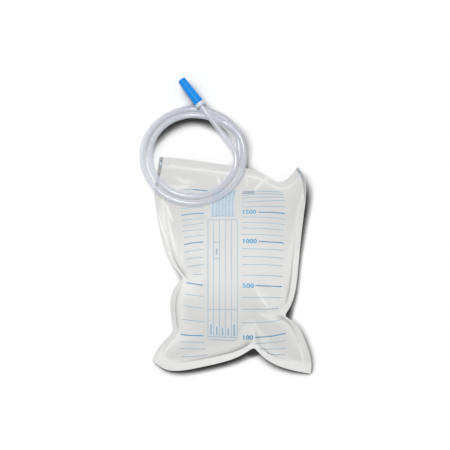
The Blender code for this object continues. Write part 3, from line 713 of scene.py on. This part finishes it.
def puff(u, v):
    """Share of the full rise: 0 at the weld, and 1 at the middle of the pouch."""
    margin = (SIDE_WELD + (CURL_WIDTH - SIDE_WELD) * curled(v)) / BAG_WIDTH
    across = np.clip((u - margin) / (1 - 2 * margin), 0.0, 1.0)
    along = np.clip((v - END_WELD / BAG_LENGTH) / (1 - 2 * END_WELD / BAG_LENGTH), 0.0, 1.0)
    wide = 1.0 - np.abs(2 * across - 1) ** PUFF_CORNER_ACROSS
    tall = 1.0 - np.abs(2 * along - 1) ** PUFF_CORNER_ALONG
    return np.clip(wide * tall, 0.0, 1.0) ** PUFF_SHOULDER


def front_rise(u, v):
    rise = RISE_TOP + (RISE_LOW - RISE_TOP) * smooth_step(v, *RISE_CHANGE)
    pressed = 1.0
    for fold in CREASES:
        pressed = pressed * (1.0 - crease(*fold, u, v))
    over_sleeve = (SLEEVE_OUTER / 2 + SLEEVE_FILM_MARGIN) * near_sleeve(u, v)
    return np.maximum(rise * puff(u, v) * pressed, over_sleeve)


def back_drop(u, v, weld):
    """How far the back film hangs below the weld. It flattens on the table with a rounded bend."""
    free = weld - FILM_THICKNESS - PLY_GAP / 2
    under_sleeve = (SLEEVE_OUTER / 2 + SLEEVE_FILM_MARGIN) * near_sleeve(u, v)
    above = free - np.maximum(BACK_DROP * puff(u, v), under_sleeve)
    rounding = np.minimum(FLOOR_ROUNDING, ROUNDING_SHARE * free)
    rounded = (above + rounding) ** 2 / (4 * rounding)
    return free - np.where(above > rounding, above, np.where(above < -rounding, 0.0, rounded))


def grid_normals(points):
    normal = np.cross(np.gradient(points, axis=-3), np.gradient(points, axis=-2))
    return normal / np.maximum(np.linalg.norm(normal, axis=-1, keepdims=True), LEAST_LENGTH)


def line_distance(xy, points):
    """Distance from each place to a line through the points, and the share of its length that is nearest."""
    nearest = np.full(xy.shape[:-1], np.inf)
    share = np.zeros(xy.shape[:-1])
    lengths = [math.dist(a, b) for a, b in zip(points, points[1:])]
    done = 0.0
    for a, b, length in zip(points, points[1:], lengths):
        step = (np.array(b) - a) / length
        t = np.clip((xy - a) @ step, 0.0, length)
        off = np.linalg.norm(xy - a - t[..., None] * step, axis=-1)
        share = np.where(off < nearest, (done + t) / sum(lengths), share)
        nearest = np.minimum(nearest, off)
        done += length
    return nearest, share


def fold_relief(xy):
    """Height of the fine folds, and their stress whitening and painted highlight, which die out towards their
    ends.
    """
    height, white = np.zeros(xy.shape[:-1]), np.zeros(xy.shape[:-1])
    for points, tall, half_width, paler_and_painted_light in FOLDS:
        off, share = line_distance(xy, [photo_place(*p) for p in points])
        along = FOLD_ENDS + (1 - 2 * FOLD_ENDS) * share
        ridge = np.exp(-((off / (half_width * MM)) ** 2)) * (4 * along * (1 - along)) ** FOLD_TAPER
        height += tall * MM * ridge
        white = np.maximum(white, paler_and_painted_light * ridge)
    return height, white


spread_columns = -np.cos(np.pi * np.linspace(*COLUMN_SPREAD, COLUMNS + 1))
grid_u, grid_v = np.meshgrid(spread_columns, np.linspace(0, 1, ROWS + 1))
grid_u = (grid_u - grid_u.min()) / (grid_u.max() - grid_u.min())
weld = weld_surface(grid_u, grid_v)
weld_normal = grid_normals(weld)
weld_normal *= np.where(weld_normal[..., 2:] < 0, -1.0, 1.0)
fold_height, fold_whitening_and_highlight = fold_relief(weld[..., :2])
puffed = puff(grid_u, grid_v)
front = weld + PLY_GAP / 2 * weld_normal
front[..., 2] += front_rise(grid_u, grid_v) + fold_height * np.minimum(puffed * FOLD_FADE, 1.0)
back = weld - PLY_GAP / 2 * weld_normal
back[..., 2] -= back_drop(grid_u, grid_v, weld[..., 2])

from_side = np.minimum(grid_u, 1 - grid_u) * BAG_WIDTH
from_end = np.minimum(grid_v, 1 - grid_v) * BAG_LENGTH
inside_weld = np.minimum(from_side - SIDE_WELD, from_end - END_WELD)
# Painted light: the film is painted paler where it is steep, and the weld's pale band, partly its own
# paleness, is strongest where the film beside it is steep
weld_pale_and_painted_light = np.interp(inside_weld, *zip(*WELD_PALE_AND_PAINTED_LIGHT))
steep = 1.0 - np.abs(grid_normals(front)[..., 2])
weld_share = WELD_FLAT + (1 - WELD_FLAT) * smooth_step(steep, 0.0, STEEP[1])
front_paler_and_painted_light = np.maximum(fold_whitening_and_highlight, STEEP_PAINTED_LIGHT * smooth_step(steep, *STEEP))
front_paler_and_painted_light = np.maximum(front_paler_and_painted_light, weld_pale_and_painted_light * weld_share)


def film_mesh(name, points, faces_up, white):
    """One ply. It has a UV map of the flat film in metres, and its paleness, from whitening and painted
    light.
    """
    rows, columns = points.shape[:2]
    index = np.arange(rows * columns).reshape(rows, columns)
    quads = np.stack([index[:-1, :-1], index[1:, :-1], index[1:, 1:], index[:-1, 1:]], axis=-1).reshape(-1, 4)
    flat = np.stack([grid_u.ravel() * BAG_WIDTH, grid_v.ravel() * BAG_LENGTH], axis=-1)
    keep = np.ones(len(quads), bool)
    for across in (HOLE_FROM_SIDE, BAG_WIDTH - HOLE_FROM_SIDE):
        away = np.linalg.norm(flat - (across, HOLE_FROM_TOP), axis=1)
        keep &= ~(away[quads] < HOLE_DIAMETER / 2).all(axis=1)
    quads = quads[keep]
    if not faces_up:
        quads = quads[:, ::-1]
    mesh = bpy.data.meshes.new(name)
    mesh.from_pydata(points.reshape(-1, 3).tolist(), [], quads.tolist())
    corner_vertex = np.empty(len(mesh.loops), int)
    mesh.loops.foreach_get("vertex_index", corner_vertex)
    uv = mesh.uv_layers.new(name="UVMap")
    uv.data.foreach_set("uv", flat[corner_vertex].ravel())
    mesh.attributes.new("paler_and_painted_light", "FLOAT", "POINT").data.foreach_set("value", white.ravel())
    return mesh


def film_material(name, dark, light, spread):
    """Milky film, paler at folds, the weld and steep places, partly as painted light, greyer at the top and
    low down.
    """
    mat, tree, shader = varied_plastic(name, dark, light, FILM_ROUGHNESS, cloud_scale=30.0, wave_scale=420.0)
    shades = shader.inputs["Base Color"].links[0].from_socket
    flat_place = add_node(tree, "ShaderNodeUVMap", {}, uv_map="UVMap")["UV"]
    down = add_node(tree, "ShaderNodeSeparateXYZ", {"Vector": flat_place})["Y"]
    grey = tree.nodes.new("ShaderNodeValToRGB")
    stops = grey.color_ramp.elements
    stops.remove(stops[0])
    for place, shade in GREY_DOWN_BAG:
        stops.new(place).color = (shade, shade, shade, 1.0)
    fill(tree, grey, {"Fac": maths(tree, "DIVIDE", down, BAG_LENGTH)})
    greyer = add_node(
        tree, "ShaderNodeMix", {"Factor": 1.0, "A": shades, "B": grey.outputs["Color"]},
        data_type="RGBA", blend_type="MULTIPLY",
    )["Result"]
    # The attribute paints the film paler: stress whitening and painted highlight at folds, the weld's own
    # paleness, and painted light where it is steep or beside the weld
    white = add_node(tree, "ShaderNodeAttribute", {}, attribute_name="paler_and_painted_light")["Fac"]
    whiter = add_node(
        tree, "ShaderNodeMix", {"Factor": white, "A": greyer, "B": PALER_AND_PAINTED_LIGHT_COLOUR}, data_type="RGBA"
    )["Result"]
    fill(tree, shader, {"Base Color": whiter, "Transmission Weight": FILM_TRANSMISSION, "IOR": FILM_IOR})
    let_through(tree, shader, 1.0, FILM_SHADE)
    level_light(tree, shader, spread)
    return mat


def link(name, mesh, mat):
    mesh.materials.append(mat)
    mesh.shade_smooth()
    obj = bpy.data.objects.new(name, mesh)
    bpy.context.scene.collection.objects.link(obj)
    return obj


milky_film = film_material("milky_film", (0.72, 0.72, 0.71), (0.80, 0.795, 0.785), spread=0.93)
milky_back = film_material("milky_back_film", (0.735, 0.74, 0.735), (0.81, 0.81, 0.80), spread=0.0)
front_film = link("front_ply", film_mesh("front_ply", front, True, front_paler_and_painted_light), milky_film)
back_film = link("back_ply", film_mesh("back_ply", back, False, weld_pale_and_painted_light), milky_back)
for ply, node in ((front_film, "front_film"), (back_film, "back_film")):
    wall = ply.modifiers.new("thickness", "SOLIDIFY")
    wall.thickness = FILM_THICKNESS
    wall.offset = 1.0
    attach(ply, "bag")
    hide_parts(node)

# Print.
# Thin blue ink on the front film: a scale of volumes on each side, with plain numbers, and a form of five
# columns between them, whose wording is left as plain bars.

INK_ABOVE = 0.00014
TINT_ABOVE = 0.00007
STROKE_STEP = 0.0011
THIN = 0.62
BOLD = 1.0

# Strokes: width in pixels of the photograph, then the pixels that the stroke runs through
RIGHT_SCALE = (
    (THIN, (256.7, 191.2), (270, 191.3), (282, 192.4)),
    (THIN, (242, 195.9), (254.7, 194.2), (272.5, 193.9), (284, 195)),
    (THIN, (241.8, 199.7), (247.2, 197.6), (262.2, 197.1), (284, 197.2)),
    (THIN, (241.8, 202.5), (262.2, 201.1), (281.1, 200.5), (284.8, 201.6)),
    (THIN, (241.8, 206.5), (246.7, 207.2), (251.8, 206.5), (279.9, 206.4), (284.8, 207.4)),
    (BOLD, (258.7, 212.2), (274.2, 212.5), (284.5, 213.7)),
    (THIN, (241.8, 216.9), (271.3, 217.7), (285.1, 219.5)),
    (THIN, (242.3, 222.4), (262.2, 222.9), (274.2, 223.5), (284.3, 224.6)),
    (THIN, (241.8, 228.0), (262.2, 228.4), (283.4, 230.1)),
    (THIN, (241.8, 234.3), (263.9, 234.7), (283.4, 236.4)),
    (BOLD, (258.7, 241.4), (272.5, 242.2), (279.9, 242.6), (283.7, 243.4)),
    (THIN, (241.8, 248.6), (256.4, 248.9), (272.5, 249.5), (283.4, 250.5)),
    (THIN, (241.8, 256.4), (262.2, 256.8), (272.5, 257.4), (283.4, 258.5)),
    (THIN, (242, 264.5), (263.9, 264.7), (282, 265.8)),
    (THIN, (241.5, 275.3), (255.8, 275.3), (271.9, 275.7), (282.8, 276.5)),
    (BOLD, (255.3, 285.5), (270.2, 286.1), (281.7, 286.6)),
    (THIN, (242, 297.4), (281.7, 297.4)),
    (THIN, (241.8, 309.3), (264.4, 309.2), (278.8, 308.4)),
    (THIN, (241.5, 322.7), (262.1, 322.4), (272.5, 321.5), (278.8, 320.4), (281.7, 318.6)),
    (BOLD, (255.1, 337.3), (269.8, 336.3), (279, 334.7), (285.6, 333.2)),
    (THIN, (251.7, 344.2), (264, 343.1), (274.4, 342.2), (285.6, 340.6)),
    (THIN, (258.9, 348.5), (264, 349.1), (276.7, 348.8), (285.6, 348.2)),
    (THIN, (267.5, 353.1), (272.1, 354.2), (284.7, 354.8)),
)
LEFT_SCALE = (
    (THIN, (184.2, 189.5), (192.5, 189.5)),
    (BOLD, (192.5, 189.5), (207.7, 190.9)),
    (THIN, (185.9, 193.6), (193.6, 193.3), (201.7, 194.8), (208, 194.3)),
    (THIN, (181.3, 208.8), (190.2, 207.7), (204, 207.1)),
    (BOLD, (181.3, 215.3), (192.5, 213.8), (204, 213.3)),
    (THIN, (182.1, 220.7), (190.2, 219.5), (204, 218.3)),
    (THIN, (182.4, 226.1), (190.2, 224.8), (203.7, 223.2)),
    (THIN, (182.7, 231.4), (191.3, 230.4), (203.4, 229.2)),
    (THIN, (183.9, 237.5), (193.6, 236.1), (203.7, 235.4)),
    (BOLD, (184.2, 244.7), (191.9, 243.0), (203.4, 242.1)),
    (THIN, (184.4, 252.4), (192.5, 250.7), (203.7, 249.4)),
    (THIN, (185.3, 259.6), (191.3, 258.3), (203.1, 257.2)),
    (THIN, (187.3, 267.1), (193.6, 265.6), (203.7, 264.5)),
    (THIN, (193, 274.5), (203.4, 274.5)),
    (BOLD, (186.5, 282.6), (192.5, 283.7), (203.1, 285.2)),
    (THIN, (185, 294.3), (193.6, 295.2), (203.4, 296.6)),
    (THIN, (183.9, 305.4), (192.5, 307.0), (203.4, 308.0)),
    (THIN, (182.3, 319.3), (190.9, 320.4), (204.1, 321.6)),
    (BOLD, (180.6, 334.2), (188.6, 335.3), (203.6, 335.8)),
    (THIN, (180.6, 341.4), (189.8, 342.0), (204.1, 342.4)),
    (THIN, (180, 348.6), (192.1, 348.8), (205.8, 349.0)),
    (THIN, (181.2, 356.6), (194.4, 356.3), (207, 354.6)),
)
FORM_COLUMNS = (208.0, 213.5, 219.6, 225.5, 231.5, 237.3)
FORM_TOP, FORM_CROSS, FORM_BOTTOM = 220.0, 309.5, 336.8
FORM_TINT_TOPS = (322.5, 325.0, 326.5, 327.0, 322.5)
FORM_TINT_SIDES = (1.5, 4.5)
FORM_TINT_WIDTH = 1.7
FORM_TINT_END = 0.8
FORM_TINT = [
    (FORM_TINT_WIDTH, (left + side, top), (left + side, FORM_BOTTOM - FORM_TINT_END))
    for left, top in zip(FORM_COLUMNS, FORM_TINT_TOPS) for side in FORM_TINT_SIDES
]
FORM = tuple((THIN, (x, FORM_TOP), (x, FORM_BOTTOM)) for x in FORM_COLUMNS) + (
    (THIN, (208, FORM_TOP), (237.3, FORM_TOP - 0.5)),
    (THIN, (208, FORM_CROSS), (237.3, FORM_CROSS)),
    (THIN, (208, FORM_BOTTOM - 0.4), (237.3, FORM_BOTTOM + 0.8)),
    (THIN, (213.5, 242.4), (219.6, 242.4)),
    (THIN, (213.5, 258.6), (219.6, 258.6)),
    (THIN, (208.7, 339.2), (216, 339.5), (224, 340.1), (231, 340.5), (234, 340.1), (237.3, 339.3)),
    (THIN, (244.0, 343.4), (245.6, 346.0), (248.2, 342.8)),
)
WORD_BARS = (
    (1.5, (216.6, 248.7), (216.6, 254.4)),
    (1.4, (211, 324.2), (211, 335.2)),
    (1.4, (216.8, 326.5), (216.8, 335.2)),
    (1.4, (222.5, 327.9), (222.5, 335.3)),
    (1.4, (228.2, 328.5), (228.2, 335.5)),
    (1.4, (234.2, 324.4), (234.2, 336.0)),
)
TEXT_COLUMNS = (212.9, 216.3, 219.1, 222.5, 225.8, 229.0, 232.4)
TEXT_TOP, TEXT_BOTTOM = 190.5, 216.8
TEXT_LEAN = 2.5  # how far the columns lean over at their top
TEXT_UPRIGHT, TEXT_BEND = 204.0, 197.0
LEAN_RUN = 14.0
TEXT_TINT_WIDTH = 3.4
DASH_WIDTH = 1.3
DASH_LENGTHS = (1.6, 4.0)
DASH_GAP = 0.7
DASH_SEED = 11
TEXT_BLOCK = [
    (TEXT_TINT_WIDTH, (x + TEXT_LEAN, TEXT_TOP), (x + TEXT_LEAN / 4, TEXT_BEND), (x, TEXT_UPRIGHT),
     (x, TEXT_BOTTOM))
    for x in TEXT_COLUMNS
]

# Numbers: left and right side, lowest and highest pixel, and slant
NUMBERS = (
    ("1500", (243.0, 256.2), (214.0, 209.9), 0.0),
    ("1000", (243.2, 256.9), (243.4, 238.9), 0.0),
    ("500", (242.6, 254.0), (288.0, 283.4), 0.0),
    ("100", (243.1, 253.1), (339.6, 335.2), 0.0),
)
TOP_NUMBER = (("2000", (241.8, 254.7), (193.9, 190.9), 0.35),)
NUMBER_CURVE_STEPS = 3
NUMBER_BOLDNESS = 0.026
RING_OUTER = 0.0048
RING_MARGIN = 0.0002  # bare film between the hole and its ring
RING_POINTS = 48
SLOPE_STEP = 1e-4  # step in u and v over which the film's slope is read
INK_SHADES = (0.9, 1.1)
INK_ROUGHNESS = 0.45
INK_SCALE = 400.0

print_tree, given = shape_tree(
    "print_on_film",
    Film="Object", Eye="Vector", Reach="Float", Strokes="Bool", Step="Float", Height="Float",
    Material="Material",
)
lines = add_node(print_tree, "GeometryNodeMeshToCurve", {"Mesh": given["Geometry"]})["Curve"]
bent = add_node(
    print_tree, "GeometryNodeCurveSplineType", {"Curve": lines}, spline_type="CATMULL_ROM"
)["Curve"]
even = add_node(
    print_tree, "GeometryNodeResampleCurve", {"Curve": bent, "Length": given["Step"]}, mode="LENGTH"
)["Curve"]
level = add_node(print_tree, "GeometryNodeSetCurveNormal", {"Curve": even}, mode="Z_UP")["Curve"]
across = add_node(
    print_tree, "GeometryNodeCurvePrimitiveLine", {"Start": (-0.5, 0.0, 0.0), "End": (0.5, 0.0, 0.0)}
)["Curve"]
width = add_node(
    print_tree, "GeometryNodeInputNamedAttribute", {"Name": "width"}, data_type="FLOAT"
)["Attribute"]
ribbons = add_node(
    print_tree, "GeometryNodeCurveToMesh", {"Curve": level, "Profile Curve": across, "Scale": width}
)["Mesh"]
flat = add_node(
    print_tree, "GeometryNodeSwitch", {0: given["Strokes"], 1: given["Geometry"], 2: ribbons},
    input_type="GEOMETRY",
)["Output"]
place = add_node(print_tree, "GeometryNodeInputPosition", {})["Position"]
sight = vector_maths(print_tree, "SUBTRACT", place, given["Eye"])["Vector"]
film = add_node(print_tree, "GeometryNodeObjectInfo", {"Object": given["Film"]})["Geometry"]
hit = add_node(print_tree, "GeometryNodeRaycast", {
    "Target Geometry": film, "Source Position": given["Eye"], "Ray Direction": sight,
    "Ray Length": given["Reach"],
})
lift = add_node(
    print_tree, "ShaderNodeVectorMath", {0: hit["Hit Normal"], "Scale": given["Height"]}, operation="SCALE"
)["Vector"]
on_film = vector_maths(print_tree, "ADD", hit["Hit Position"], lift)["Vector"]
printed = add_node(print_tree, "GeometryNodeSetPosition", {"Geometry": flat, "Position": on_film})["Geometry"]
end_tree(print_tree, printed, given["Material"])


def ink(name, colour):
    dark, light = (tuple(min(part * shade, 1.0) for part in colour) for shade in INK_SHADES)
    return varied_plastic(name, dark, light, INK_ROUGHNESS, cloud_scale=INK_SCALE)[0]


def print_on_film(name, colour, guide, strokes=True, height=INK_ABOVE):
    """Lay flat marks on the film, where the camera sees them at their pixels of the photograph."""
    piece = grow(
        name, guide, print_tree, Film=front_film, Eye=camera_place, Reach=2 * camera_height, Strokes=strokes,
        Step=STROKE_STEP, Height=height, Material=ink(name, colour),
    )
    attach(piece, "bag")


def stroke_guide(*groups):
    """The middle lines of strokes, flat on the table, each with its width."""
    places, edges, widths = [], [], []
    for width, *points in (mark for group in groups for mark in group):
        first = len(places)
        places += [(*photo_place(*point), 0.0) for point in points]
        edges += [(i, i + 1) for i in range(first, len(places) - 1)]
        widths += [width * PIXEL] * len(points)
    mesh = bpy.data.meshes.new("strokes")
    mesh.from_pydata(places, edges, [])
    mesh.attributes.new("width", "FLOAT", "POINT").data.foreach_set("value", widths)
    return mesh


def number_guide(numbers):
    """Plain numbers, flat on the table."""
    places, faces = [], []
    for word, (left, right), (low, high), slant in numbers:
        text = bpy.data.curves.new(word, "FONT")
        text.body = word
        text.resolution_u = NUMBER_CURVE_STEPS
        text.offset = NUMBER_BOLDNESS
        text.shear = slant
        outline = bpy.data.objects.new(word, text)
        bpy.context.scene.collection.objects.link(outline)
        shape = plain_mesh(outline)
        bpy.data.objects.remove(outline)
        spots = np.array([v.co[:2] for v in shape.vertices])
        spots = (spots - spots.min(0)) / (spots.max(0) - spots.min(0))
        faces += [[len(places) + i for i in face.vertices] for face in shape.polygons]
        places += [(*photo_place(left + (right - left) * x, low + (high - low) * y), 0.0) for x, y in spots]
        bpy.data.meshes.remove(shape)
    mesh = bpy.data.meshes.new("numbers")
    mesh.from_pydata(places, [], faces)
    return mesh


def draw_rings(bm):
    """A blue ring round each hanging hole, on both faces of the curled corner."""
    for centre in (HOLE_FROM_SIDE, BAG_WIDTH - HOLE_FROM_SIDE):
        loops = []
        for radius in (HOLE_DIAMETER / 2 + RING_MARGIN, RING_OUTER):
            angle = np.linspace(0, 2 * math.pi, RING_POINTS, endpoint=False)
            u = (centre + radius * np.cos(angle)) / BAG_WIDTH
            v = np.maximum(HOLE_FROM_TOP + radius * np.sin(angle), 0.0) / BAG_LENGTH
            here = weld_surface(u, v)
            right = weld_surface(u + SLOPE_STEP, v) - here
            down = weld_surface(u, v + SLOPE_STEP) - here
            normal = np.cross(down, right)
            normal /= np.linalg.norm(normal, axis=1, keepdims=True)
            off = (PLY_GAP / 2 + FILM_THICKNESS + INK_ABOVE) * normal
            loops.append((here - off, here + off))
        for side in (0, 1):
            inner, outer = [[bm.verts.new(p) for p in loop[side]] for loop in loops]
            for k in range(len(inner)):
                n = (k + 1) % len(inner)
                bm.faces.new((inner[k], inner[n], outer[n], outer[k]))


def text_dashes():
    """Broken bars in columns, that stand for lines of small wording."""
    rng = np.random.default_rng(DASH_SEED)
    bars = []
    for x in TEXT_COLUMNS:
        y = TEXT_BOTTOM
        while y > TEXT_TOP:
            end = max(y - rng.uniform(*DASH_LENGTHS), TEXT_TOP)
            lean = [TEXT_LEAN * max(0.0, (TEXT_UPRIGHT - at) / LEAN_RUN) ** 2 for at in (y, end)]
            bars.append((DASH_WIDTH, (x + lean[0], y), (x + lean[1], end)))
            y = end - DASH_GAP
    return bars


marks = [*RIGHT_SCALE, *LEFT_SCALE, *FORM]
fine_marks = [mark for mark in marks if mark[0] < BOLD]
bold_marks = [mark for mark in marks if mark[0] == BOLD]
print_on_film("tint_print", (0.50, 0.585, 0.66), stroke_guide(TEXT_BLOCK), height=TINT_ABOVE)
print_on_film("form_tint_print", (0.68, 0.74, 0.78), stroke_guide(FORM_TINT), height=TINT_ABOVE)
print_on_film("fine_print", (0.34, 0.50, 0.61), stroke_guide(fine_marks))
print_on_film("bold_print", (0.09, 0.32, 0.52), stroke_guide(bold_marks))
print_on_film("number_print", (0.04, 0.35, 0.62), number_guide(NUMBERS), strokes=False)
print_on_film("top_number_print", (0.22, 0.31, 0.40), number_guide(TOP_NUMBER), strokes=False)
print_on_film("word_print", (0.31, 0.45, 0.56), stroke_guide(WORD_BARS, text_dashes()))

rings = bmesh.new()
draw_rings(rings)
ring_mesh = bpy.data.meshes.new("ring_print")
rings.to_mesh(ring_mesh)
rings.free()
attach(link("ring_print", ring_mesh, ink("ring_print", (0.06, 0.42, 0.80))), "bag")
